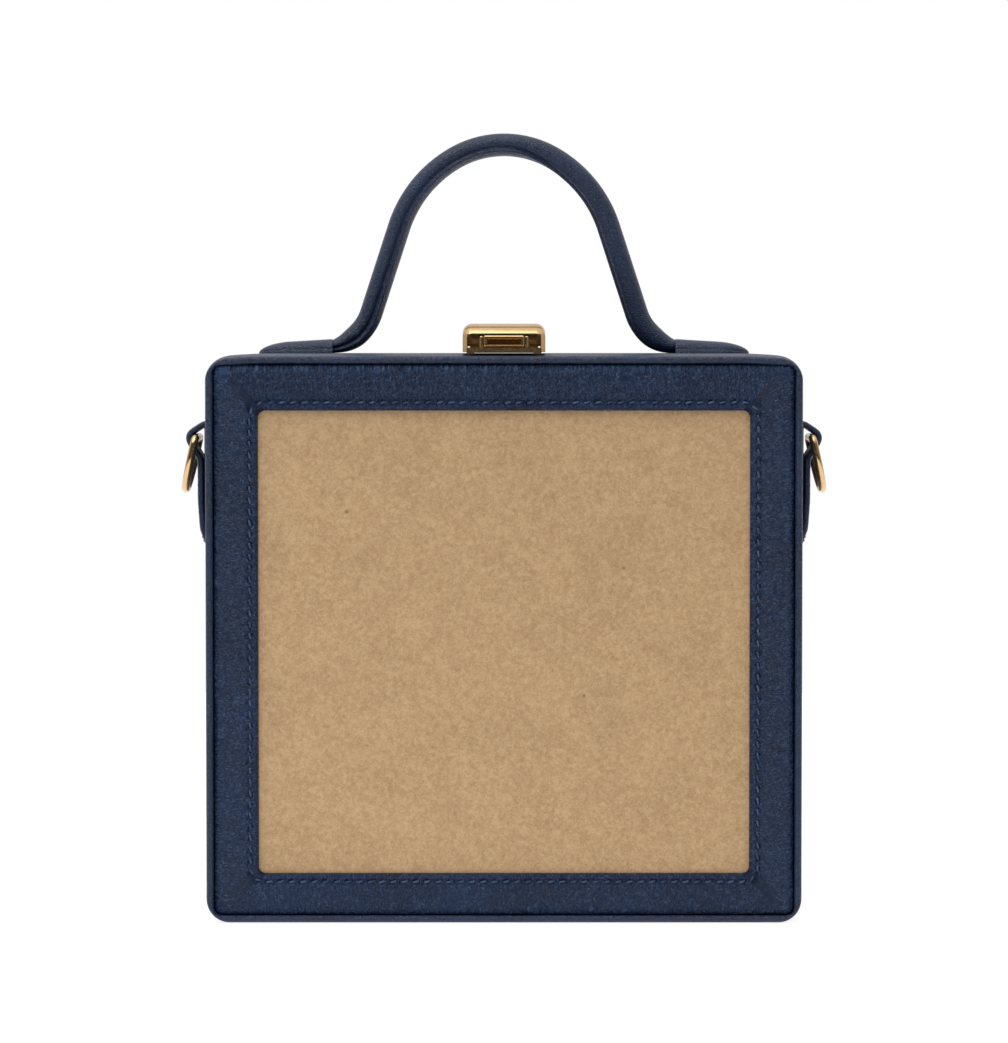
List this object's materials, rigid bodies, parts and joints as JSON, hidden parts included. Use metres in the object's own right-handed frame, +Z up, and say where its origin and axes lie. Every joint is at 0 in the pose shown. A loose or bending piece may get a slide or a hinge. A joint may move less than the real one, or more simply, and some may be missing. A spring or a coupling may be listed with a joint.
{
  "type": "box bag",
  "caption": "Stiff square box handbag with a leather-framed fibre front panel, rolled top handle, press clasp, hinged front lid and a D-ring on each side.",
  "frame": {"origin": "centre of the base, on the surface that the bag stands on", "axes": "+Z up, the front panel faces -Y, +X to the right as seen from the front"},
  "size_m": [0.198, 0.08, 0.2399],
  "materials": {
    "navy_leather": "fine-grained navy leather with a soft sheen",
    "kraft_board": "matt pressed fibre board with fine pale fibres and a few dark specks",
    "gold_metal": "polished pale gold"
  },
  "bodies": {
    "case": {"case_gusset": "navy_leather", "back_panel": "navy_leather", "handle_grip": "navy_leather", "handle_tab_left": "navy_leather", "handle_tab_right": "navy_leather", "side_strap_left": "navy_leather", "side_strap_right": "navy_leather", "case_hinge_leaf": "gold_metal", "hinge_pin": "gold_metal", "clasp_block": "gold_metal"},
    "lid": {"lid_gusset": "navy_leather", "front_frame": "navy_leather", "board_panel": "kraft_board", "lid_hinge_leaf": "gold_metal", "clasp_base": "gold_metal"},
    "cap": {"clasp_cap": "gold_metal"},
    "button": {"clasp_button": "gold_metal"},
    "ring_left": {"d_ring_left": "gold_metal"},
    "ring_right": {"d_ring_right": "gold_metal"}
  },
  "joints": [
    {"name": "lid_hinge", "type": "hinge", "parent": "case", "child": "lid", "pos_m": [0, -0.014, 0.0017], "axis": [1, 0, 0], "range_deg": [0, 90]},
    {"name": "cap_hinge", "type": "hinge", "parent": "case", "child": "cap", "pos_m": [0, -0.0106, 0.178], "axis": [-1, 0, 0], "range_deg": [0, 85]},
    {"name": "button_press", "type": "slide", "parent": "lid", "child": "button", "axis": [0, 1, 0], "range_m": [0, 0.0012], "stiffness_N_per_m": 300},
    {"name": "ring_left_swing", "type": "hinge", "parent": "case", "child": "ring_left", "pos_m": [-0.0951, 0, 0.1459], "axis": [0, 1, 0], "range_deg": [-5.5, 165]},
    {"name": "ring_right_swing", "type": "hinge", "parent": "case", "child": "ring_right", "pos_m": [0.0951, 0, 0.1459], "axis": [0, -1, 0], "range_deg": [-5.5, 165]}
  ]
}
